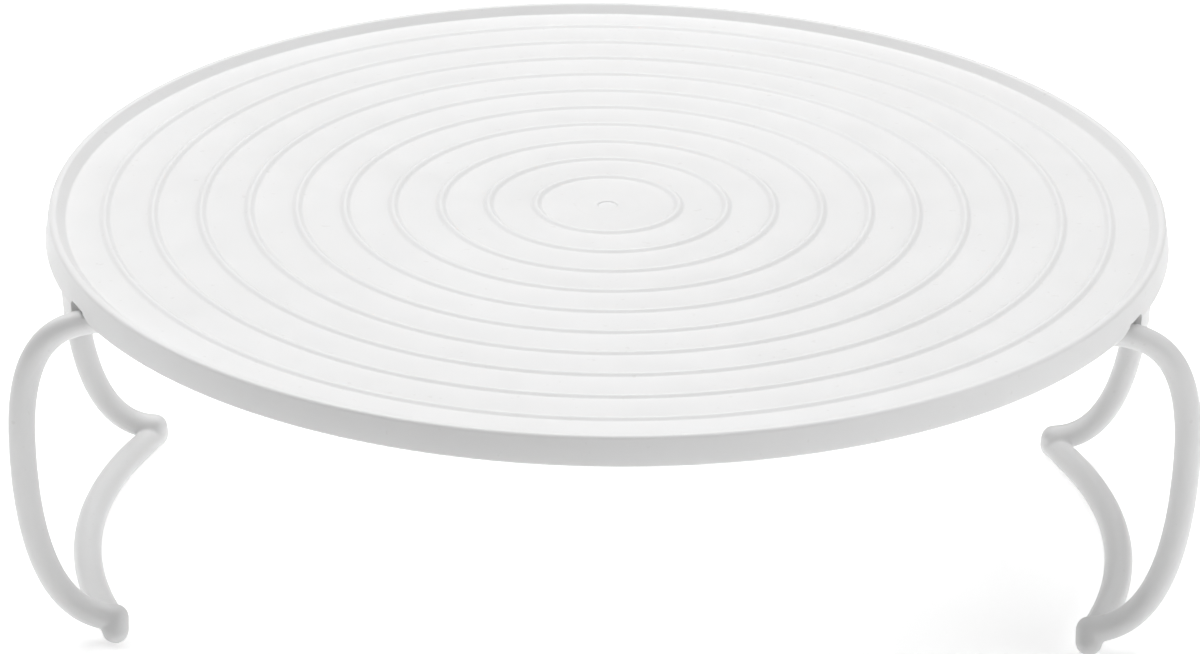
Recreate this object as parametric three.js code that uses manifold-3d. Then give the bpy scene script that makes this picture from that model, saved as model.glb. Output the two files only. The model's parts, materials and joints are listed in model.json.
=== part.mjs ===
// Folding round tray stand: a ringed tray on two bow-shaped legs that fold in under it.
//
// Millimetres, +Z up, origin on the floor under the tray's centre. The legs stand at -X and +X,
// and each one turns about an axis parallel to Y, on trunnions that snap into cheeks below the
// tray. Both legs are drawn at +X, and the left one is turned half a turn about Z.

import * as THREE from 'three';
import { mergeVertices } from 'three/addons/utils/BufferGeometryUtils.js';
import Module from 'manifold-3d';

const wasm = await Module();
wasm.setup();

// ---- Driving dimensions: tray ----
const PLATE_TOP_Z = 80.05;
const PLATE_THICKNESS = 2.05;
const LIP_TOP_Z = 82;
const LIP_INNER_RADIUS = 113.6;
const LIP_ROUNDING = 0.9;
const LIP_FLARE = 0.3;
const LIP_FOOT_RISE = 0.6;
const LIP_SHOULDER_WIDTH = 1;
const LIP_SHOULDER_DROP = 0.25;
const SKIRT_BOTTOM_Z = 75.9;
const SKIRT_TOP_RADIUS = 116.5;
const SKIRT_RADIUS = 117.5;
const SKIRT_WALL = 1.9;
const SKIRT_CHAMFER = 0.35;
const SKIRT_FILLET = 1.2;
const RING_COUNT = 10;
const FIRST_RING_RADIUS = 15;
const RING_PITCH = 10;
const RING_WIDTH = 2.7;
const RING_CREST_WIDTH = 0.9;
const RING_HEIGHT = 0.65;
const GATE_MARK_RADIUS = 2.2;
const GATE_MARK_BEVEL = 0.4;
const GATE_MARK_DEPTH = 0.3;
const TRAY_SIDES = 48;

// ---- Driving dimensions: legs ----
const ARM_Y = 49.5;
const ARM_END_X = 103;
const ARM_END_Z = 74.15;
const ARM_RADIUS = 2.6;
const SWELL_START = 8;
const SWELL_END = 30;
const SHOULDER_REACH = 9.5;
const BULGE_X = 118.6;
const BULGE_Y = 48.1;
const BULGE_Z = 46;
const BULGE_RISE = 20.5;
const BULGE_DROP = 19;
const UPRIGHT_RADIUS = 2.8;
const UPRIGHT_STEPS = 28;
const FOOT_X = 101;
const FOOT_Y = 46;
const FOOT_Z = 5.2;
const FOOT_REACH = 14.5;
const FOOT_LIFT = 0.4;
const FOOT_RADIUS = 2.85;
const FOOT_FLAT_RADIUS = 1.3;
const FOOT_BAR_Z = 3.1;
const FOOT_BAR_RADIUS = 2.9;
const FOOT_BAR_STEPS = 20;
const NECK_LENGTH = 5;
const NECK_DEPTH = 0.55;
const BAR_SIDES = 12;

// ---- Driving dimensions: hinges ----
const PIVOT_X = 94;
const PIVOT_Z = 75;
const TRUNNION_RADIUS = 2;
const TRUNNION_HALF_LENGTH = 5.2;
const TRUNNION_SIDES = 16;
const ARM_EYE_RADIUS = 2.7;
const BEARING_CLEARANCE = 0.3;
const CHEEK_RADIUS = 3.9;
const CHEEK_THICKNESS = 2.4;
const CHEEK_INNER_GAP = 3;
const SNAP_SLOT_WIDTH = 3.4;
const STOP_START_X = 101;
const STOP_LENGTH = 3.5;
const STOP_HALF_WIDTH = 3.5;
const STOP_GAP = 0.3;
const RIB_START_X = 97;
const RIB_END_X = 107.2;
const RIB_THICKNESS = 2;
const RIB_BOTTOM_Z = 72.9;
const EAR_INNER_Y = 40.6;
const EAR_BOTTOM_Z = 72.5;
const EAR_INNER_RADIUS = 115.4;
const EAR_OUTER_RADIUS = 117.35;
const EAR_OVERLAP = 0.9;
const NOTCH_START_X = 103.4;
const NOTCH_END_X = 122.5;
const NOTCH_INNER_Y = 46.5;
const NOTCH_OUTER_Y = 52.8;
const NOTCH_RAMP_Y = 57;
const NOTCH_RAMP_TOP_Y = 53.2;
const NOTCH_RAMP_TOP_Z = 76.9;
const NOTCH_TOP_Z = 77.4;

// ---- Derived sizes ----
const PLATE_BOTTOM_Z = PLATE_TOP_Z - PLATE_THICKNESS;
const UNION_DEPTH = 0.6;
const HINGE_TOP_Z = PLATE_BOTTOM_Z + UNION_DEPTH;
const ARM_SLOPE = (ARM_END_Z - PIVOT_Z) / (ARM_END_X - PIVOT_X);
const LEG_SPLAY = (ARM_Y - FOOT_Y) / (ARM_END_Z - FOOT_Z);

// ---- Joining and cutting closed geometry ----

function toSolid(geometry) {
  const bare = geometry.clone();
  bare.deleteAttribute('normal');
  bare.deleteAttribute('uv');
  const merged = mergeVertices(bare, 1e-4);
  const triangles = [];
  for (let i = 0; i < merged.index.count; i += 3) {
    const corners = [0, 1, 2].map((k) => merged.index.getX(i + k));
    if (new Set(corners).size === 3) {
      triangles.push(...corners);
    }
  }
  return new wasm.Manifold(new wasm.Mesh({
    numProp: 3,
    vertProperties: Float32Array.from(merged.attributes.position.array),
    triVerts: Uint32Array.from(triangles),
  }));
}

function toGeometry(solid) {
  const mesh = solid.getMesh();
  const geometry = new THREE.BufferGeometry();
  geometry.setAttribute('position', new THREE.BufferAttribute(mesh.vertProperties, 3));
  geometry.setIndex(new THREE.BufferAttribute(mesh.triVerts, 1));
  geometry.computeVertexNormals();
  return geometry;
}

// ---- Shapes ----

// A closed solid of revolution about Z, from [radius, height] points that run up its outside.
function turned(points, sides) {
  const profile = points.map(([radius, height]) => new THREE.Vector2(radius, height));
  const geometry = new THREE.LatheGeometry(profile, sides);
  return geometry.rotateX(Math.PI / 2);
}

// Points on an arc in a profile, from one angle to another in degrees.
function arc(centreR, centreZ, radius, fromDegrees, toDegrees, steps) {
  const points = [];
  for (let i = 0; i <= steps; i += 1) {
    const angle = THREE.MathUtils.degToRad(fromDegrees + (toDegrees - fromDegrees) * i / steps);
    points.push([centreR + radius * Math.cos(angle), centreZ + radius * Math.sin(angle)]);
  }
  return points;
}

// A box over ranges of X, Y and Z, at +Y for side 1 and at -Y for side -1.
function block([x0, x1], [y0, y1], [z0, z1], side) {
  const geometry = new THREE.BoxGeometry(x1 - x0, y1 - y0, z1 - z0);
  return geometry.translate((x0 + x1) / 2, side * (y0 + y1) / 2, (z0 + z1) / 2);
}

// A round bar along a curve, whose radius is radiusAt(t) for t from 0 to 1 along it.
function bar(curve, steps, radiusAt) {
  const section = new THREE.Shape();
  section.absarc(0, 0, 1, 0, 2 * Math.PI, false);
  const geometry = new THREE.ExtrudeGeometry(section, {
    steps,
    curveSegments: BAR_SIDES / 2,
    extrudePath: curve,
  });
  const centres = curve.getSpacedPoints(steps);
  const position = geometry.attributes.position;
  const vertex = new THREE.Vector3();
  for (let i = 0; i < position.count; i += 1) {
    vertex.fromBufferAttribute(position, i);
    const distances = centres.map((centre) => centre.distanceTo(vertex));
    const nearest = distances.indexOf(Math.min(...distances));
    vertex.sub(centres[nearest]).multiplyScalar(radiusAt(nearest / steps)).add(centres[nearest]);
    position.setXYZ(i, vertex.x, vertex.y, vertex.z);
  }
  return geometry;
}

// ---- Tray ----

// Outline of half the tray's section: under the plate, down and round the skirt, over the lip,
// and back across the rings to the axis.
function trayProfile() {
  const skirtInner = SKIRT_RADIUS - SKIRT_WALL;
  const lipCentreR = SKIRT_TOP_RADIUS - LIP_ROUNDING;
  const lipCentreZ = LIP_TOP_Z - LIP_ROUNDING;
  const crestZ = PLATE_TOP_Z + RING_HEIGHT;
  const points = [
    [0, PLATE_BOTTOM_Z],
    [skirtInner - SKIRT_FILLET, PLATE_BOTTOM_Z],
    [skirtInner - SKIRT_FILLET / 4, PLATE_BOTTOM_Z - SKIRT_FILLET / 2],
    [skirtInner, SKIRT_BOTTOM_Z],
    [SKIRT_RADIUS - SKIRT_CHAMFER, SKIRT_BOTTOM_Z],
    [SKIRT_RADIUS, SKIRT_BOTTOM_Z + SKIRT_CHAMFER],
    ...arc(lipCentreR, lipCentreZ, LIP_ROUNDING, 10, 90, 3),
    [LIP_INNER_RADIUS + LIP_SHOULDER_WIDTH, LIP_TOP_Z - LIP_SHOULDER_DROP],
    [LIP_INNER_RADIUS + LIP_FLARE, PLATE_TOP_Z + LIP_FOOT_RISE],
    [LIP_INNER_RADIUS - LIP_FLARE, PLATE_TOP_Z],
  ];
  for (let ring = RING_COUNT - 1; ring >= 0; ring -= 1) {
    const radius = FIRST_RING_RADIUS + ring * RING_PITCH;
    points.push([radius + RING_WIDTH / 2, PLATE_TOP_Z]);
    points.push([radius + RING_CREST_WIDTH / 2, crestZ]);
    points.push([radius - RING_CREST_WIDTH / 2, crestZ]);
    points.push([radius - RING_WIDTH / 2, PLATE_TOP_Z]);
  }
  points.push([GATE_MARK_RADIUS, PLATE_TOP_Z]);
  points.push([GATE_MARK_RADIUS - GATE_MARK_BEVEL, PLATE_TOP_Z - GATE_MARK_DEPTH]);
  points.push([0, PLATE_TOP_Z - GATE_MARK_DEPTH]);
  return points;
}

// One hinge cheek: a tab with a round end, and a bearing hole that a narrower slot opens below.
function cheek(centreY) {
  const holeRadius = TRUNNION_RADIUS + BEARING_CLEARANCE;
  const slotAngle = Math.asin(SNAP_SLOT_WIDTH / 2 / holeRadius);
  const endAngle = Math.asin(SNAP_SLOT_WIDTH / 2 / CHEEK_RADIUS);
  const down = -Math.PI / 2;
  const top = HINGE_TOP_Z - PIVOT_Z;
  const outline = new THREE.Shape();
  outline.moveTo(-CHEEK_RADIUS, top);
  outline.lineTo(-CHEEK_RADIUS, 0);
  outline.absarc(0, 0, CHEEK_RADIUS, Math.PI, 3 * Math.PI / 2 - endAngle, false);
  outline.absarc(0, 0, holeRadius, down - slotAngle, down + slotAngle - 2 * Math.PI, true);
  outline.absarc(0, 0, CHEEK_RADIUS, down + endAngle, 0, false);
  outline.lineTo(CHEEK_RADIUS, top);
  const geometry = new THREE.ExtrudeGeometry(outline, {
    depth: CHEEK_THICKNESS,
    bevelEnabled: false,
    curveSegments: 5,
  });
  geometry.rotateX(Math.PI / 2);
  return geometry.translate(PIVOT_X, centreY + CHEEK_THICKNESS / 2, PIVOT_Z);
}

// The pad below the plate that the arm comes up against when the leg stands.
function stopPad(side) {
  const armTop = PIVOT_Z + ARM_SLOPE * (STOP_START_X - PIVOT_X) + ARM_RADIUS;
  return block(
    [STOP_START_X, STOP_START_X + STOP_LENGTH],
    [ARM_Y - STOP_HALF_WIDTH, ARM_Y + STOP_HALF_WIDTH],
    [armTop + STOP_GAP, HINGE_TOP_Z],
    side,
  );
}

// The web that carries the inner cheek out to the skirt.
function rib(side) {
  const outerY = ARM_Y - CHEEK_INNER_GAP - 0.2;
  return block(
    [RIB_START_X, RIB_END_X],
    [outerY - RIB_THICKNESS, outerY],
    [RIB_BOTTOM_Z, HINGE_TOP_Z],
    side,
  );
}

// The stretch of skirt beside an arm that hangs below the rest of it.
function ear(side) {
  const top = SKIRT_BOTTOM_Z + EAR_OVERLAP;
  const ring = turned([
    [EAR_INNER_RADIUS, EAR_BOTTOM_Z],
    [EAR_OUTER_RADIUS, EAR_BOTTOM_Z],
    [EAR_OUTER_RADIUS, top],
    [EAR_INNER_RADIUS, top],
    [EAR_INNER_RADIUS, EAR_BOTTOM_Z],
  ], TRAY_SIDES);
  const stretch = block(
    [PIVOT_X, SKIRT_RADIUS],
    [EAR_INNER_Y, NOTCH_INNER_Y + UNION_DEPTH],
    [EAR_BOTTOM_Z - UNION_DEPTH, top + UNION_DEPTH],
    side,
  );
  return toGeometry(toSolid(ring).intersect(toSolid(stretch)));
}

// The opening in the skirt that an arm passes through, with a ramp on its outer side.
function notch(side) {
  const below = EAR_BOTTOM_Z - UNION_DEPTH;
  const corners = [
    [NOTCH_INNER_Y, below],
    [NOTCH_RAMP_Y, below],
    [NOTCH_RAMP_Y, SKIRT_BOTTOM_Z],
    [NOTCH_RAMP_TOP_Y, NOTCH_RAMP_TOP_Z],
    [NOTCH_OUTER_Y, NOTCH_TOP_Z],
    [NOTCH_INNER_Y, NOTCH_TOP_Z],
  ];
  const outline = new THREE.Shape(corners.map(([y, z]) => new THREE.Vector2(side * y, z)));
  const geometry = new THREE.ExtrudeGeometry(outline, {
    depth: NOTCH_END_X - NOTCH_START_X,
    bevelEnabled: false,
  });
  const toXAxis = new THREE.Matrix4().makeBasis(
    new THREE.Vector3(0, 1, 0),
    new THREE.Vector3(0, 0, 1),
    new THREE.Vector3(1, 0, 0),
  );
  geometry.applyMatrix4(toXAxis);
  return geometry.translate(NOTCH_START_X, 0, 0);
}

// What one hinge at +X adds to the tray.
function hinge(side) {
  const offset = CHEEK_INNER_GAP + CHEEK_THICKNESS / 2;
  const inner = cheek(side * (ARM_Y - offset));
  const outer = cheek(side * (ARM_Y + offset));
  return [inner, outer, stopPad(side), rib(side), ear(side)];
}

function trayGeometry() {
  let solid = toSolid(turned(trayProfile(), TRAY_SIDES));
  for (const side of [-1, 1]) {
    for (const turn of [0, Math.PI]) {
      for (const piece of hinge(side)) {
        solid = solid.add(toSolid(piece.rotateZ(turn)));
      }
      solid = solid.subtract(toSolid(notch(side).rotateZ(turn)));
    }
  }
  return toGeometry(solid);
}

// ---- Legs ----

// Arm and upright on one side of a leg, from the hinge out, down round the bulge and to the foot.
function uprightCurve(side) {
  const point = (x, y, z) => new THREE.Vector3(x, side * y, z);
  const pivot = point(PIVOT_X, ARM_Y, PIVOT_Z);
  const armEnd = point(ARM_END_X, ARM_Y, ARM_END_Z);
  const bulge = point(BULGE_X, BULGE_Y, BULGE_Z);
  const foot = point(FOOT_X, FOOT_Y, FOOT_Z);
  const path = new THREE.CurvePath();
  path.add(new THREE.LineCurve3(pivot, armEnd));
  path.add(new THREE.CubicBezierCurve3(
    armEnd,
    point(ARM_END_X + SHOULDER_REACH, ARM_Y, ARM_END_Z + ARM_SLOPE * SHOULDER_REACH),
    point(BULGE_X, BULGE_Y + LEG_SPLAY * BULGE_RISE, BULGE_Z + BULGE_RISE),
    bulge,
  ));
  path.add(new THREE.CubicBezierCurve3(
    bulge,
    point(BULGE_X, BULGE_Y - LEG_SPLAY * BULGE_DROP, BULGE_Z - BULGE_DROP),
    point(FOOT_X + FOOT_REACH, FOOT_Y, FOOT_Z + FOOT_LIFT),
    foot,
  ));
  return path;
}

// The bar between the feet, an arc about the tray's axis.
function footBarCurve() {
  const radius = Math.hypot(FOOT_X, FOOT_Y);
  const halfAngle = Math.atan2(FOOT_Y, FOOT_X);
  const curve = new THREE.Curve();
  curve.getPoint = (t, target = new THREE.Vector3()) => {
    const angle = halfAngle * (2 * t - 1);
    return target.set(radius * Math.cos(angle), radius * Math.sin(angle), FOOT_BAR_Z);
  };
  return curve;
}

// How much a bar narrows towards its end, so that the end stays inside the foot nub.
function neck(distance) {
  return Math.max(0, 1 - distance / NECK_LENGTH) * NECK_DEPTH;
}

function upright(side) {
  const curve = uprightCurve(side);
  const length = curve.getLength();
  return bar(curve, UPRIGHT_STEPS, (t) => {
    const swell = THREE.MathUtils.smoothstep(t * length, SWELL_START, SWELL_END);
    const radius = THREE.MathUtils.lerp(ARM_RADIUS, UPRIGHT_RADIUS, swell);
    return radius - neck(length - t * length);
  });
}

function footBar() {
  const curve = footBarCurve();
  const length = curve.getLength();
  const radiusAt = (t) => FOOT_BAR_RADIUS - neck(Math.min(t, 1 - t) * length);
  return bar(curve, FOOT_BAR_STEPS, radiusAt);
}

// A rounded peg with a small flat to stand on.
function footNub(side) {
  const rounding = FOOT_RADIUS - FOOT_FLAT_RADIUS;
  const geometry = turned([
    [0, 0],
    ...arc(FOOT_FLAT_RADIUS, rounding, rounding, -90, 0, 3),
    ...arc(0, FOOT_Z, FOOT_RADIUS, 0, 75, 3),
    [0, FOOT_Z + FOOT_RADIUS],
  ], BAR_SIDES);
  return geometry.translate(FOOT_X, side * FOOT_Y, 0);
}

// The pin across an arm's end.
function trunnion(side) {
  const length = 2 * TRUNNION_HALF_LENGTH;
  const geometry = new THREE.CylinderGeometry(
    TRUNNION_RADIUS,
    TRUNNION_RADIUS,
    length,
    TRUNNION_SIDES,
  );
  return geometry.translate(PIVOT_X, side * ARM_Y, PIVOT_Z);
}

// The rounded end of an arm.
function armEye(side) {
  const geometry = new THREE.SphereGeometry(ARM_EYE_RADIUS, BAR_SIDES, 8);
  return geometry.translate(PIVOT_X, side * ARM_Y, PIVOT_Z);
}

function legGeometry() {
  let solid = toSolid(footBar());
  for (const side of [-1, 1]) {
    for (const piece of [upright(side), footNub(side), trunnion(side), armEye(side)]) {
      solid = solid.add(toSolid(piece));
    }
  }
  return toGeometry(solid);
}

// ---- Assembly ----

const trayPlastic = new THREE.MeshStandardMaterial({
  color: 0xf1f1ef,
  roughness: 0.42,
  metalness: 0,
});
const legPlastic = new THREE.MeshStandardMaterial({
  color: 0xeeeeec,
  roughness: 0.38,
  metalness: 0,
});

const group = new THREE.Group();

function place(name, geometry, material, turn) {
  const mesh = new THREE.Mesh(geometry, material);
  mesh.name = name;
  mesh.rotation.z = turn;
  group.add(mesh);
}

place('tray', trayGeometry(), trayPlastic, 0);
place('left_leg', legGeometry(), legPlastic, Math.PI);
place('right_leg', legGeometry(), legPlastic, 0);

export default group;
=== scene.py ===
import json
import math

import bmesh
import bpy
import numpy as np
from mathutils import Matrix, Quaternion, Vector


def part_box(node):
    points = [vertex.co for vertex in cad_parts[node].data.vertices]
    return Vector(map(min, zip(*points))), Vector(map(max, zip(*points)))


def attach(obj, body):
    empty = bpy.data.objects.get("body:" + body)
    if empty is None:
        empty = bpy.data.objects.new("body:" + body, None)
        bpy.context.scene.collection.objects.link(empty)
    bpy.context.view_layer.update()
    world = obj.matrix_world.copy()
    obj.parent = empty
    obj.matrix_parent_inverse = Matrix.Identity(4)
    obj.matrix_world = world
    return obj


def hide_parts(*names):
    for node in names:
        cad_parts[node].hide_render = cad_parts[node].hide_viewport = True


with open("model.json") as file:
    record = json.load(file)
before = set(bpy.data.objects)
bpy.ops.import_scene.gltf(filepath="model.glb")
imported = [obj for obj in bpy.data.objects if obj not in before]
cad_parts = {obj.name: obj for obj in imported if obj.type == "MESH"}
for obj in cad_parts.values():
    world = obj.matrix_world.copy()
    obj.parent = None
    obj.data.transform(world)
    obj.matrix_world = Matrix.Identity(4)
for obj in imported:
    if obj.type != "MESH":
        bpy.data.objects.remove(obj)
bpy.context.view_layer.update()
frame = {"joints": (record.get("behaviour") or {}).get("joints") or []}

# Shapes are built in millimetres, in the CAD frame, and scaled to metres as the last step.
MM = 0.001
tray_box = [tuple(value / MM for value in corner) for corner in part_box("tray")]
hinges = {joint["child"]: joint["pos_m"] for joint in frame["joints"]}

# ---- Tray sizes ----
SKIRT_RADIUS = tray_box[1][0]
LIP_TOP = tray_box[1][2]
LIP_RISE = 1.95
PLATE_THICKNESS = 2.05
SKIRT_HEIGHT = 6.1
PLATE_TOP = LIP_TOP - LIP_RISE
PLATE_BOTTOM = PLATE_TOP - PLATE_THICKNESS
SKIRT_BOTTOM = LIP_TOP - SKIRT_HEIGHT
PLATE_EDGE_RADIUS = 114.9
SKIRT_INNER_RADIUS = 115.55
LIP_OUTER_RADIUS = 116.5
LIP_INNER_RADIUS = 115.0
LIP_FOOT_RADIUS = 113.1
FLAT_END_RADIUS = 112.0
FILLET = 0.8
LIP_ROUNDING = 1.0
SKIRT_INNER_ROUNDING = 0.25
SKIRT_OUTER_ROUNDING = 0.45
RING_COUNT = 10
FIRST_RING = 15.0
RING_PITCH = 10.0
RING_HALF_WIDTH = 1.35
RING_HEIGHT = 0.65
RING_POINTS = 15
TRAY_SIDES = 360
GATE_START_RADIUS = 6.0
GATE_RADIUS = 2.2
GATE_FLOOR_RADIUS = 1.9
GATE_DEPTH = 0.3
GATE_RIM_ROUNDING = 0.35
GATE_FLOOR_ROUNDING = 0.15
MARK_RADIUS = 3.0
MARK_FLOOR_RADIUS = 2.9
MARK_DEPTH = 0.12
MARK_START = 0.5
# Each ring of ejector marks: its radius, first angle and step in degrees, and how many.
MARK_RINGS = ((62.0, 30, 60, 6), (28.0, 0, 90, 4))
TRAY_SMOOTH_ANGLE = 32

# ---- Hinge sizes ----
PIVOT_X = hinges["right_leg"][0] / MM
PIVOT_Z = hinges["right_leg"][2] / MM
ARM_Y = 49.5
TRUNNION_RADIUS = 2.0
TRUNNION_HALF_LENGTH = 5.2
BEARING_RADIUS = 2.3
CHEEK_RADIUS = 3.9
CHEEK_THICKNESS = 2.4
CHEEK_GAP = 3.0
SNAP_SLOT = 3.4
CHEEK_TIP_CUT = 0.5
CHEEK_EDGE = 0.2
CHEEK_STEPS = 14
BEARING_STEPS = 32
UNION_DEPTH = 0.6
HINGE_TOP = PLATE_BOTTOM + UNION_DEPTH
STOP_X = (101.0, 104.5)
STOP_FROM_PIVOT = 7
STOP_HALF_WIDTH = 3.5
STOP_GAP = 0.3
STOP_EDGE = 0.25
RIB_X = (97.0, 107.2)
RIB_FAR_OFFSET = 5.2
RIB_NEAR_OFFSET = 3.2
RIB_BOTTOM = 72.9
RIB_EDGE = 0.3
EAR_INNER_Y = 40.6
EAR_BOTTOM = 72.5
EAR_INNER_RADIUS = 115.4
EAR_INSET = 0.12
EAR_OVERLAP = 0.9
EAR_NOTCH_OVERLAP = 0.3
EAR_SLICES = 14
EAR_EDGE = 0.35
NOTCH_X = (103.4, 122.5)
NOTCH_INNER_Y = 46.5
NOTCH_OUTER_Y = 52.8
NOTCH_RAMP_Y = 57.0
NOTCH_RAMP_TOP = (53.2, 76.9)
NOTCH_BOTTOM = 71.9
NOTCH_TOP = 77.4
NOTCH_CORNER = 0.5
NOTCH_CORNER_MIDDLE = 0.15

# ---- Leg sizes ----
ARM_END = (103.0, 74.15)
ARM_RADIUS = 2.6
SHOULDER_REACH = 9.5
BULGE = (118.6, 46.0)
BULGE_Y = 48.1
BULGE_RISE = 20.5
BULGE_DROP = 19.0
UPRIGHT_RADIUS = 2.8
SWELL_START = 8
SWELL_LENGTH = 22
ARM_POINTS = 9
SHOULDER_STEPS = 48
LOWER_STEPS = 56
FOOT = (101.0, 5.2)
FOOT_Y = 46.0
FOOT_REACH = 14.5
FOOT_LIFT = 0.4
FOOT_RADIUS = 2.85
FOOT_OVERHANG = 1.1
FOOT_DOME_ANGLE = 86
FOOT_DOME_POINTS = 12
FOOT_BAR_Z = 3.1
FOOT_BAR_WIDE = 3.05
FOOT_BAR_TALL = 2.75
FOOT_BAR_POINTS = 90
NECK_LENGTH = 7
NECK_DEPTH = 0.35
TRUNNION_ROUNDING = 0.4
TRUNNION_SIDES = 36
EYE_RADIUS = 2.65
EYE_END_ANGLE = 82
LEG_VOXEL = 0.34
LEG_SMOOTH_FACTOR = 0.5
LEG_SMOOTH_ROUNDS = 7
LEG_SMOOTH_ANGLE = 70
ARM_SLOPE = (ARM_END[1] - PIVOT_Z) / (ARM_END[0] - PIVOT_X)


# ---- Mesh tools ----

def mesh_object(name, vertices, faces):
    """A mesh object whose faces all look outwards."""
    mesh = bpy.data.meshes.new(name)
    mesh.from_pydata([tuple(float(c) for c in v) for v in vertices], [], faces)
    shape = bmesh.new()
    shape.from_mesh(mesh)
    bmesh.ops.recalc_face_normals(shape, faces=shape.faces)
    shape.to_mesh(mesh)
    shape.free()
    made = bpy.data.objects.new(name, mesh)
    bpy.context.scene.collection.objects.link(made)
    return made


def modify(obj, kind, **settings):
    """Adds one modifier to obj and applies it."""
    modifier = obj.modifiers.new(kind.lower(), kind)
    for key, value in settings.items():
        setattr(modifier, key, value)
    bpy.context.view_layer.update()
    graph = bpy.context.evaluated_depsgraph_get()
    result = bpy.data.meshes.new_from_object(obj.evaluated_get(graph))
    obj.modifiers.clear()
    spare = obj.data
    obj.data = result
    bpy.data.meshes.remove(spare)
    return obj


def combine(base, tool, operation):
    """Joins tool to base, or cuts it out, and removes tool."""
    modify(base, "BOOLEAN", object=tool, operation=operation, solver="MANIFOLD")
    bpy.data.objects.remove(tool)
    return base


def soften(obj, width, segments=3):
    """Rounds obj's sharp edges."""
    return modify(
        obj, "BEVEL", width=width, segments=segments,
        limit_method="ANGLE", angle_limit=math.radians(40),
    )


def union(pieces):
    """Joins every piece to the first one and returns it."""
    whole = pieces[0]
    for piece in pieces[1:]:
        combine(whole, piece, "UNION")
    return whole


def arc(centre, radius, start, end, steps):
    """Points on an arc, from one angle to another in degrees."""
    angles = np.radians(np.linspace(start, end, steps + 1))
    return [(centre[0] + radius * math.cos(a), centre[1] + radius * math.sin(a)) for a in angles]


def rounded(corners, steps=6):
    """A profile of (r, z, rounding) corners, each one rounded by an arc."""
    points = [corners[0][:2]]
    for before, here, after in zip(corners, corners[1:], corners[2:]):
        corner = np.array(here[:2])
        radius = here[2]
        a = np.array(before[:2]) - corner
        b = np.array(after[:2]) - corner
        a = a / np.linalg.norm(a)
        b = b / np.linalg.norm(b)
        half = math.acos(float(np.clip(a @ b, -1, 1))) / 2
        middle = a + b
        centre = corner + middle / np.linalg.norm(middle) * radius / math.sin(half)
        u = (corner + a * radius / math.tan(half) - centre) / radius
        v = (corner + b * radius / math.tan(half) - centre) / radius
        sweep = math.acos(float(np.clip(u @ v, -1, 1)))
        for t in np.linspace(0, 1, steps + 1):
            turn = math.sin((1 - t) * sweep) * u + math.sin(t * sweep) * v
            points.append(tuple(centre + radius * turn / math.sin(sweep)))
    points.append(corners[-1][:2])
    return points


def lathe(name, profile, sides, centre=(0.0, 0.0)):
    """A solid of revolution about a vertical axis; the profile starts and ends on the axis."""
    angles = np.linspace(0, 2 * math.pi, sides, endpoint=False)
    inner = profile[1:-1]
    vertices = [(centre[0], centre[1], profile[0][1]), (centre[0], centre[1], profile[-1][1])]
    for radius, z in inner:
        for a in angles:
            vertices.append((centre[0] + radius * math.cos(a), centre[1] + radius * math.sin(a), z))
    faces = []
    last = 2 + (len(inner) - 1) * sides
    for i in range(sides):
        j = (i + 1) % sides
        faces.append((0, 2 + j, 2 + i))
        faces.append((1, last + i, last + j))
        for k in range(len(inner) - 1):
            low = 2 + k * sides
            faces.append((low + i, low + j, low + sides + j, low + sides + i))
    return mesh_object(name, vertices, faces)


def prism(name, outline, place, low, high):
    """A closed outline carried from low to high; place(u, v, w) gives a corner's x, y and z."""
    count = len(outline)
    vertices = [place(u, v, w) for w in (low, high) for u, v in outline]
    faces = [tuple(range(count)), tuple(range(2 * count - 1, count - 1, -1))]
    for i in range(count):
        j = (i + 1) % count
        faces.append((i, j, count + j, count + i))
    return mesh_object(name, vertices, faces)


def block(name, x, y, z):
    """A box over a range of x, of y and of z."""
    outline = [(x[0], y[0]), (x[1], y[0]), (x[1], y[1]), (x[0], y[1])]
    return prism(name, outline, lambda u, v, w: (u, v, w), *z)


def tube(name, centres, wide, tall, sides=32):
    """A bar along centres; wide and tall are its half sizes across and up at each centre."""
    centres = np.array(centres, float)
    along = np.gradient(centres, axis=0)
    along /= np.linalg.norm(along, axis=1)[:, None]
    across = np.cross(along[0], (0, 0, 1) if abs(along[0][2]) < 0.9 else (0, 1, 0))
    vertices = []
    for i, centre in enumerate(centres):
        across = across - along[i] * (across @ along[i])
        across /= np.linalg.norm(across)
        up = np.cross(across, along[i])
        for a in np.linspace(0, 2 * math.pi, sides, endpoint=False):
            vertices.append(centre + across * wide[i] * math.cos(a) + up * tall[i] * math.sin(a))
    faces = [tuple(range(sides))]
    faces.append(tuple(range((len(centres) - 1) * sides, len(centres) * sides)))
    for k in range(len(centres) - 1):
        for i in range(sides):
            j = (i + 1) % sides
            low = k * sides
            faces.append((low + i, low + j, low + sides + j, low + sides + i))
    return mesh_object(name, vertices, faces)


def turn_over(obj, name):
    """A copy of obj turned half a turn about Z."""
    mesh = obj.data.copy()
    mesh.transform(Matrix.Rotation(math.pi, 4, "Z"))
    made = bpy.data.objects.new(name, mesh)
    bpy.context.scene.collection.objects.link(made)
    return made


def finish_surface(obj, angle):
    """Scales obj to metres and shades it smooth, with edges sharper than angle kept."""
    obj.data.transform(Matrix.Scale(MM, 4))
    obj.data.shade_smooth()
    obj.data.set_sharp_from_angle(angle=math.radians(angle))
    obj.data.update()


# ---- Tray ----

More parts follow.
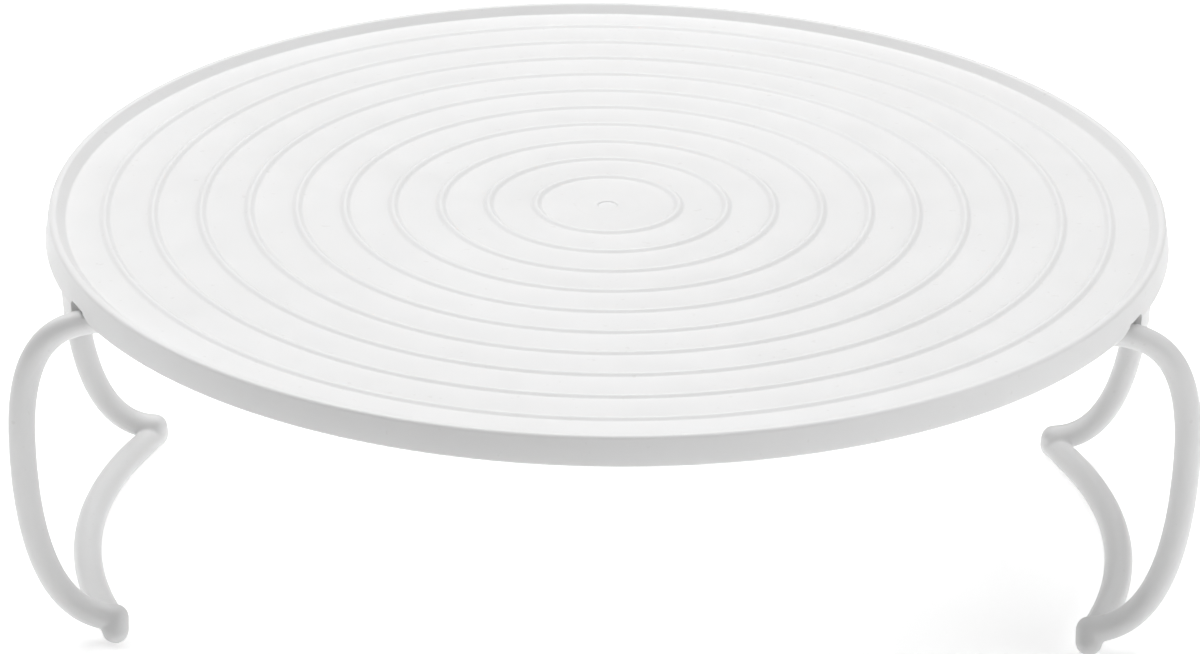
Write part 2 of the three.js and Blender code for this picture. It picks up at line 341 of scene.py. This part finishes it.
def tray_profile():
    """Half the tray's section, under the plate, round skirt and lip, and back over the rings."""
    shell = [
        (0.0, PLATE_BOTTOM, 0.0),
        (PLATE_EDGE_RADIUS, PLATE_BOTTOM, FILLET),
        (SKIRT_INNER_RADIUS, SKIRT_BOTTOM, SKIRT_INNER_ROUNDING),
        (SKIRT_RADIUS, SKIRT_BOTTOM, SKIRT_OUTER_ROUNDING),
        (LIP_OUTER_RADIUS, LIP_TOP, LIP_ROUNDING),
        (LIP_INNER_RADIUS, LIP_TOP, FILLET),
        (LIP_FOOT_RADIUS, PLATE_TOP, FILLET),
        (FLAT_END_RADIUS, PLATE_TOP, 0.0),
    ]
    points = rounded(shell)
    for ring in reversed(range(RING_COUNT)):
        centre = FIRST_RING + ring * RING_PITCH
        for u in np.linspace(1, -1, RING_POINTS):
            rise = 0.5 + 0.5 * math.cos(math.pi * u)
            points.append((centre + RING_HALF_WIDTH * u, PLATE_TOP + RING_HEIGHT * rise))
    gate_floor = PLATE_TOP - GATE_DEPTH
    gate = [
        (GATE_START_RADIUS, PLATE_TOP, 0.0),
        (GATE_RADIUS, PLATE_TOP, GATE_RIM_ROUNDING),
        (GATE_FLOOR_RADIUS, gate_floor, GATE_FLOOR_ROUNDING),
        (0.0, gate_floor, 0.0),
    ]
    return points + rounded(gate, 4)


def cheek(centre_y):
    """A tab with a round end, and a bearing hole that a narrower slot opens below."""
    slot = math.degrees(math.asin(SNAP_SLOT / 2 / BEARING_RADIUS))
    end = math.degrees(math.asin((SNAP_SLOT / 2 + CHEEK_TIP_CUT) / CHEEK_RADIUS))
    pivot = (PIVOT_X, PIVOT_Z)
    outline = [(PIVOT_X - CHEEK_RADIUS, HINGE_TOP)]
    outline += arc(pivot, CHEEK_RADIUS, 180, 270 - end, CHEEK_STEPS)
    outline += arc(pivot, BEARING_RADIUS, -90 - slot, -450 + slot, BEARING_STEPS)
    outline += arc(pivot, CHEEK_RADIUS, -90 + end, 0, CHEEK_STEPS)
    outline.append((PIVOT_X + CHEEK_RADIUS, HINGE_TOP))
    half = CHEEK_THICKNESS / 2
    made = prism("cheek", outline, lambda u, v, w: (u, w, v), centre_y - half, centre_y + half)
    return soften(made, CHEEK_EDGE)


def ear(side):
    """The stretch of skirt beside an arm that hangs below the rest of it."""
    inner, outer = EAR_INNER_RADIUS, SKIRT_RADIUS - EAR_INSET
    top = SKIRT_BOTTOM + EAR_OVERLAP
    vertices = []
    for y in np.linspace(EAR_INNER_Y, NOTCH_INNER_Y + EAR_NOTCH_OVERLAP, EAR_SLICES):
        for radius, z in ((inner, EAR_BOTTOM), (outer, EAR_BOTTOM), (outer, top), (inner, top)):
            vertices.append((math.sqrt(radius ** 2 - y ** 2), side * y, z))
    faces = [(0, 1, 2, 3), tuple(range(len(vertices) - 4, len(vertices)))]
    for k in range(EAR_SLICES - 1):
        for i in range(4):
            j = (i + 1) % 4
            faces.append((4 * k + i, 4 * k + j, 4 * k + 4 + j, 4 * k + 4 + i))
    return soften(mesh_object("ear", vertices, faces), EAR_EDGE)


def hinge(side):
    """What one hinge at +X adds to the tray: cheeks, a stop pad, a rib and an ear of skirt."""
    offset = CHEEK_GAP + CHEEK_THICKNESS / 2
    stop_bottom = PIVOT_Z + ARM_SLOPE * STOP_FROM_PIVOT + ARM_RADIUS + STOP_GAP
    stop_y = sorted((side * (ARM_Y - STOP_HALF_WIDTH), side * (ARM_Y + STOP_HALF_WIDTH)))
    rib_y = sorted((side * (ARM_Y - RIB_FAR_OFFSET), side * (ARM_Y - RIB_NEAR_OFFSET)))
    stop = block("stop", STOP_X, stop_y, (stop_bottom, HINGE_TOP))
    rib = block("rib", RIB_X, rib_y, (RIB_BOTTOM, HINGE_TOP))
    return [
        cheek(side * (ARM_Y - offset)),
        cheek(side * (ARM_Y + offset)),
        soften(stop, STOP_EDGE),
        soften(rib, RIB_EDGE),
        ear(side),
    ]


def notch(side):
    """The opening in the skirt that an arm passes through, with a ramp on its outer side."""
    cut, middle = NOTCH_CORNER, NOTCH_CORNER_MIDDLE
    corners = [
        (NOTCH_INNER_Y, NOTCH_BOTTOM),
        (NOTCH_RAMP_Y, NOTCH_BOTTOM),
        (NOTCH_RAMP_Y, SKIRT_BOTTOM),
        NOTCH_RAMP_TOP,
        (NOTCH_OUTER_Y, NOTCH_TOP - cut),
        (NOTCH_OUTER_Y - middle, NOTCH_TOP - middle),
        (NOTCH_OUTER_Y - cut, NOTCH_TOP),
        (NOTCH_INNER_Y + cut, NOTCH_TOP),
        (NOTCH_INNER_Y + middle, NOTCH_TOP - middle),
        (NOTCH_INNER_Y, NOTCH_TOP - cut),
    ]
    return prism("notch", corners, lambda u, v, w: (w, side * u, v), *NOTCH_X)


def ejector_mark(angle, radius):
    """A shallow round dent that an ejector pin leaves in the plate's underside."""
    centre = (radius * math.cos(angle), radius * math.sin(angle))
    profile = rounded([
        (0.0, PLATE_BOTTOM - MARK_START, 0.0),
        (MARK_RADIUS, PLATE_BOTTOM - MARK_START, 0.05),
        (MARK_FLOOR_RADIUS, PLATE_BOTTOM + MARK_DEPTH, 0.06),
        (0.0, PLATE_BOTTOM + MARK_DEPTH, 0.0),
    ], 3)
    return lathe("mark", profile, 40, centre)


def make_tray():
    tray = lathe("tray_shell", tray_profile(), TRAY_SIDES)
    near = [piece for side in (-1, 1) for piece in hinge(side)]
    added = union(near)
    union([added, turn_over(added, "hinges")])
    combine(tray, added, "UNION")
    cuts = [notch(-1), notch(1)]
    cuts += [turn_over(cut, "notch") for cut in cuts]
    for radius, first, step, count in MARK_RINGS:
        cuts += [ejector_mark(math.radians(first + step * k), radius) for k in range(count)]
    combine(tray, union(cuts), "DIFFERENCE")
    finish_surface(tray, TRAY_SMOOTH_ANGLE)
    return tray


# ---- Legs ----

def bezier(a, b, c, d, steps):
    """Points on a cubic Bezier curve from a to d."""
    t = np.linspace(0, 1, steps + 1)[:, None]
    a, b, c, d = (np.array(p, float) for p in (a, b, c, d))
    return (1 - t) ** 3 * a + 3 * (1 - t) ** 2 * t * b + 3 * (1 - t) * t ** 2 * c + t ** 3 * d


def upright_centres(side):
    """Arm and upright, from the hinge out, down round the bulge and to the foot."""
    splay = (ARM_Y - FOOT_Y) / (ARM_END[1] - FOOT[1])
    pivot = (PIVOT_X, ARM_Y, PIVOT_Z)
    arm_end = (ARM_END[0], ARM_Y, ARM_END[1])
    shoulder = (ARM_END[0] + SHOULDER_REACH, ARM_Y, ARM_END[1] + ARM_SLOPE * SHOULDER_REACH)
    above = (BULGE[0], BULGE_Y + splay * BULGE_RISE, BULGE[1] + BULGE_RISE)
    bulge = (BULGE[0], BULGE_Y, BULGE[1])
    below = (BULGE[0], BULGE_Y - splay * BULGE_DROP, BULGE[1] - BULGE_DROP)
    before_foot = (FOOT[0] + FOOT_REACH, FOOT_Y, FOOT[1] + FOOT_LIFT)
    foot = (FOOT[0], FOOT_Y, FOOT[1])
    points = np.vstack([
        np.linspace(pivot, arm_end, ARM_POINTS)[:-1],
        bezier(arm_end, shoulder, above, bulge, SHOULDER_STEPS)[:-1],
        bezier(bulge, below, before_foot, foot, LOWER_STEPS),
    ])
    return points * np.array((1, side, 1))


def lengths(points):
    """How far along the path each point lies."""
    steps = np.linalg.norm(np.diff(points, axis=0), axis=1)
    return np.concatenate([[0], np.cumsum(steps)])


def neck(distance):
    """How much the foot bar narrows towards its end, to meet the foot's rounded end."""
    return np.clip(1 - distance / NECK_LENGTH, 0, 1) * NECK_DEPTH


def upright(side):
    """One arm and upright, which thickens a little beyond the hinge."""
    points = upright_centres(side)
    run = lengths(points)
    swell = np.clip((run - SWELL_START) / SWELL_LENGTH, 0, 1)
    swell = swell * swell * (3 - 2 * swell)
    radii = ARM_RADIUS + (UPRIGHT_RADIUS - ARM_RADIUS) * swell
    return tube("upright", points, radii, radii)


def foot_bar():
    """The bar between the feet, an arc about the tray's axis."""
    reach = math.hypot(FOOT[0], FOOT_Y)
    half = math.atan2(FOOT_Y, FOOT[0])
    angles = np.linspace(-half, half, FOOT_BAR_POINTS)
    points = np.array([(reach * math.cos(a), reach * math.sin(a), FOOT_BAR_Z) for a in angles])
    run = lengths(points)
    less = neck(np.minimum(run, run[-1] - run))
    return tube("foot_bar", points, FOOT_BAR_WIDE - less, FOOT_BAR_TALL - less)


def foot_nub(side):
    """The stacked ends of the foot bar, below and further out, and of the upright, above."""
    low = np.array((FOOT[0], side * (FOOT_Y + FOOT_OVERHANG), FOOT_RADIUS))
    high = np.array((FOOT[0], side * FOOT_Y, FOOT[1]))
    length = np.linalg.norm(high - low)
    along = (high - low) / length
    dome = np.radians(np.linspace(-FOOT_DOME_ANGLE, 0, FOOT_DOME_POINTS))
    steps = [(FOOT_RADIUS * math.sin(a), FOOT_RADIUS * math.cos(a)) for a in dome]
    steps += [(length + UPRIGHT_RADIUS * math.sin(-a), UPRIGHT_RADIUS * math.cos(a))
              for a in dome[::-1]]
    centres = [low + along * step for step, _ in steps]
    radii = [radius for _, radius in steps]
    return tube("nub", centres, radii, radii)


def trunnion(side):
    """The pin across an arm's end, and the arm's rounded end."""
    end = TRUNNION_HALF_LENGTH
    profile = rounded([
        (0.0, -end, 0.0),
        (TRUNNION_RADIUS, -end, TRUNNION_ROUNDING),
        (TRUNNION_RADIUS, end, TRUNNION_ROUNDING),
        (0.0, end, 0.0),
    ], 4)
    pin = lathe("pin", profile, TRUNNION_SIDES)
    ball = arc((0, 0), EYE_RADIUS, -EYE_END_ANGLE, EYE_END_ANGLE, 20)
    eye = lathe("eye", [(0.0, -EYE_RADIUS)] + ball + [(0.0, EYE_RADIUS)], TRUNNION_SIDES)
    for piece in (pin, eye):
        piece.data.transform(Matrix.Rotation(math.pi / 2, 4, "X"))
        piece.data.transform(Matrix.Translation((PIVOT_X, side * ARM_Y, PIVOT_Z)))
    return [pin, eye]


def make_leg():
    parts = [foot_bar()]
    for side in (-1, 1):
        parts += [upright(side), foot_nub(side), *trunnion(side)]
    leg = union(parts)
    leg.name = "right_leg_bar"
    modify(leg, "REMESH", mode="VOXEL", voxel_size=LEG_VOXEL)
    modify(leg, "SMOOTH", factor=LEG_SMOOTH_FACTOR, iterations=LEG_SMOOTH_ROUNDS)
    finish_surface(leg, LEG_SMOOTH_ANGLE)
    return leg


# ---- Materials ----

# Noise scales, in features per metre.
CLOUD_SCALE = 22.0
PATCH_SCALE = 95.0
SPECK_SCALE = 620.0
GRAIN_SCALE = 2600.0
MOULD_LINE_SCALE = 2300.0

# Painted shade at the rings' feet, a darker band on the plate beside each ring: places are in ring
# pitches from a ring's centre.
RINGS_PER_METRE = 1 / (RING_PITCH * MM)
RING_FOOT_SHADE_PLACE = 0.17
RING_FOOT_SHADE_WIDTH = 0.05
RING_FOOT_SHADE_OUTER_RADIUS = 0.1135
RING_FOOT_SHADE_DEPTH = 0.3


class Nodes:
    """Builds a material's node tree with short calls."""

    def __init__(self, name):
        self.material = bpy.data.materials.new(name)
        self.material.use_nodes = True
        self.tree = self.material.node_tree
        self.shader = self.tree.nodes["Principled BSDF"]

    def add(self, kind, inputs=(), **settings):
        node = self.tree.nodes.new(kind)
        for key, value in settings.items():
            setattr(node, key, value)
        for socket, value in dict(inputs).items():
            if isinstance(value, bpy.types.NodeSocket):
                self.tree.links.new(value, node.inputs[socket])
            else:
                node.inputs[socket].default_value = value
        return node

    def math(self, operation, a, b=0.0, clamp=False):
        node = self.add("ShaderNodeMath", {0: a, 1: b}, operation=operation, use_clamp=clamp)
        return node.outputs[0]

    def noise(self, where, scale, detail=3.0, roughness=0.55, **settings):
        inputs = {"Scale": scale, "Detail": detail, "Roughness": roughness}
        if settings.get("noise_dimensions") == "1D":
            inputs["W"] = where
        else:
            inputs["Vector"] = where
        return self.add("ShaderNodeTexNoise", inputs, **settings).outputs["Fac"]

    def spread(self, value, low, high, to_low, to_high):
        inputs = {"Value": value, "From Min": low, "From Max": high,
                  "To Min": to_low, "To Max": to_high}
        return self.add("ShaderNodeMapRange", inputs, clamp=True).outputs["Result"]

    def mix(self, factor, a, b):
        inputs = {0: factor, 6: a, 7: b}
        return self.add("ShaderNodeMix", inputs, data_type="RGBA").outputs[2]

    def bump(self, height, distance, strength, normal=None):
        inputs = {"Height": height, "Distance": distance, "Strength": strength}
        if normal is not None:
            inputs["Normal"] = normal
        return self.add("ShaderNodeBump", inputs).outputs["Normal"]


def grey(level, warmth=0.0):
    return (level + warmth, level, level - warmth, 1.0)


def white_plastic(name, level, rough_low, rough_high, turned):
    """Satin moulded plastic; turned adds a turned mould's fine lines and painted shade at the
    rings' feet.
    """
    nodes = Nodes(name)
    place = nodes.add("ShaderNodeTexCoord").outputs["Object"]
    cloudy = nodes.noise(place, CLOUD_SCALE, 4.0)
    patch = nodes.noise(place, PATCH_SCALE, 3.0, 0.6)
    grain = nodes.noise(place, GRAIN_SCALE, 2.0, 0.6)
    speck = nodes.noise(place, SPECK_SCALE, 1.0, 0.4)

    colour = nodes.mix(nodes.spread(cloudy, 0.3, 0.7, 0, 1),
                       grey(level - 0.012, 0.001), grey(level + 0.008, -0.001))
    specks = nodes.spread(speck, 0.73, 0.8, 0, 0.5)
    colour = nodes.mix(specks, colour, grey(level * 0.86, 0.008))

    rough = nodes.spread(patch, 0.3, 0.7, rough_low, rough_high)
    rough = nodes.math("ADD", rough, nodes.spread(grain, 0.3, 0.7, -0.02, 0.02))

    normal = nodes.bump(cloudy, 0.0006, 0.10)
    normal = nodes.bump(patch, 0.00012, 0.12, normal)
    normal = nodes.bump(grain, 0.00002, 0.35, normal)

    if turned:
        axes = nodes.add("ShaderNodeSeparateXYZ", {"Vector": place})
        x, y, z = (axes.outputs[k] for k in range(3))
        square = nodes.math("ADD", nodes.math("MULTIPLY", x, x), nodes.math("MULTIPLY", y, y))
        radius = nodes.math("SQRT", square)
        lines = nodes.noise(radius, MOULD_LINE_SCALE, 2.0, 0.7, noise_dimensions="1D")
        normal = nodes.bump(lines, 0.000012, 0.30, normal)
        phase = nodes.math("FRACT", nodes.math("MULTIPLY", radius, RINGS_PER_METRE))
        off_ring = nodes.math("ABSOLUTE", nodes.math("SUBTRACT", phase, 0.5))
        # Painted shade: the plate top is darkened in a thin band just outside each ring's foot,
        # where the crease beside a raised ring is shaded.
        foot = nodes.math("ABSOLUTE", nodes.math("SUBTRACT", off_ring, RING_FOOT_SHADE_PLACE))
        foot = nodes.spread(foot, 0.0, RING_FOOT_SHADE_WIDTH, 1.0, 0.0)
        on_top = nodes.math("GREATER_THAN", z, (PLATE_TOP - RING_FOOT_SHADE_DEPTH) * MM)
        inside = nodes.math("LESS_THAN", radius, RING_FOOT_SHADE_OUTER_RADIUS)
        ring_foot_shade = nodes.math("MULTIPLY", nodes.math("MULTIPLY", foot, on_top), inside)
        ring_foot_shade = nodes.math("MULTIPLY", ring_foot_shade, nodes.spread(patch, 0.35, 0.65, 0.05, 0.3))
        colour = nodes.mix(ring_foot_shade, colour, grey(level * 0.94, 0.004))

    for socket, value in (("Base Color", colour), ("Roughness", rough), ("Normal", normal)):
        nodes.tree.links.new(value, nodes.shader.inputs[socket])
    nodes.shader.inputs["IOR"].default_value = 1.49
    nodes.shader.inputs["Subsurface Weight"].default_value = 0.12
    nodes.shader.inputs["Subsurface Radius"].default_value = (1.0, 0.95, 0.9)
    nodes.shader.inputs["Subsurface Scale"].default_value = 0.0012
    return nodes.material


# ---- The object ----

tray = make_tray()
right_leg = make_leg()
left_leg = turn_over(right_leg, "left_leg_bar")

tray_plastic = white_plastic("tray_plastic", 0.765, 0.38, 0.50, turned=True)
leg_plastic = white_plastic("leg_plastic", 0.71, 0.34, 0.45, turned=False)

for piece, node, slot, material in (
    (tray, "tray", "tray_plastic", tray_plastic),
    (left_leg, "left_leg", "leg_plastic", leg_plastic),
    (right_leg, "right_leg", "leg_plastic", leg_plastic),
):
    piece.data.materials.clear()
    piece.data.materials.append(material)
    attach(piece, node)
    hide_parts(node)

# ---- Floor, light and camera ----

FLOOR_HALF = 4.0
FLOOR_GLOW = 0.39
floor = mesh_object(
    "floor",
    [(-FLOOR_HALF, -FLOOR_HALF, 0), (FLOOR_HALF, -FLOOR_HALF, 0),
     (FLOOR_HALF, FLOOR_HALF, 0), (-FLOOR_HALF, FLOOR_HALF, 0)],
    [(0, 1, 2, 3)],
)
floor_paint = Nodes("floor_paint")
floor_paint.shader.inputs["Base Color"].default_value = grey(0.96)
floor_paint.shader.inputs["Roughness"].default_value = 0.9
floor_paint.shader.inputs["Specular IOR Level"].default_value = 0.1
floor_paint.shader.inputs["Emission Color"].default_value = (1, 1, 1, 1)
floor_paint.shader.inputs["Emission Strength"].default_value = FLOOR_GLOW
floor.data.materials.append(floor_paint.material)

SKY = 0.17
world = bpy.data.worlds.new("studio")
world.use_nodes = True
world.node_tree.nodes["Background"].inputs["Color"].default_value = (1, 1, 1, 1)
world.node_tree.nodes["Background"].inputs["Strength"].default_value = SKY
bpy.context.scene.world = world


def softbox(name, place, target, size, power):
    """A square area light that faces target."""
    lamp = bpy.data.lights.new(name, "AREA")
    lamp.shape = "SQUARE"
    lamp.size = size
    lamp.energy = power
    made = bpy.data.objects.new(name, lamp)
    made.location = place
    made.rotation_mode = "QUATERNION"
    made.rotation_quaternion = (Vector(target) - Vector(place)).to_track_quat("-Z", "Y")
    bpy.context.scene.collection.objects.link(made)


softbox("overhead", (-0.20, 0.60, 1.9), target=(0, 0, 0.05), size=1.9, power=46)
softbox("right_fill", (1.7, -0.6, 0.7), target=(0, 0, 0.03), size=0.9, power=8)
softbox("back_left_fill", (-1.3, 1.1, 1.1), target=(-0.05, 0, 0.05), size=0.9, power=4)

# The view is from in front and above, with the rings' centre above the middle of the picture.
RING_CENTRE = Vector((0, 0, 0.0805))
DISTANCE = 1.012
ELEVATION = math.radians(22.83)
SIDESTEP = -0.001
PITCH_BELOW_CENTRE = math.radians(1.477)
PAN_LEFT = math.radians(0.09)
ROLL = math.radians(0.74)
LENS = 144.7

view = bpy.data.cameras.new("view")
view.lens = LENS
view.sensor_width = 36
view.clip_start = 0.05
view.clip_end = 30
camera = bpy.data.objects.new("view", view)
back = Vector((0, -math.cos(ELEVATION), math.sin(ELEVATION)))
camera.location = RING_CENTRE + back * DISTANCE + Vector((SIDESTEP, 0, 0))
straight = (RING_CENTRE - camera.location).to_track_quat("-Z", "Y")
offset = Vector((math.tan(PAN_LEFT), math.tan(PITCH_BELOW_CENTRE), -1))
aim_off = Vector((0, 0, -1)).rotation_difference(offset).inverted()
camera.rotation_mode = "QUATERNION"
camera.rotation_quaternion = straight @ Quaternion((0, 0, 1), ROLL) @ aim_off
bpy.context.scene.collection.objects.link(camera)
bpy.context.scene.camera = camera
bpy.context.scene.view_settings.view_transform = "Standard"

bpy.context.view_layer.update()
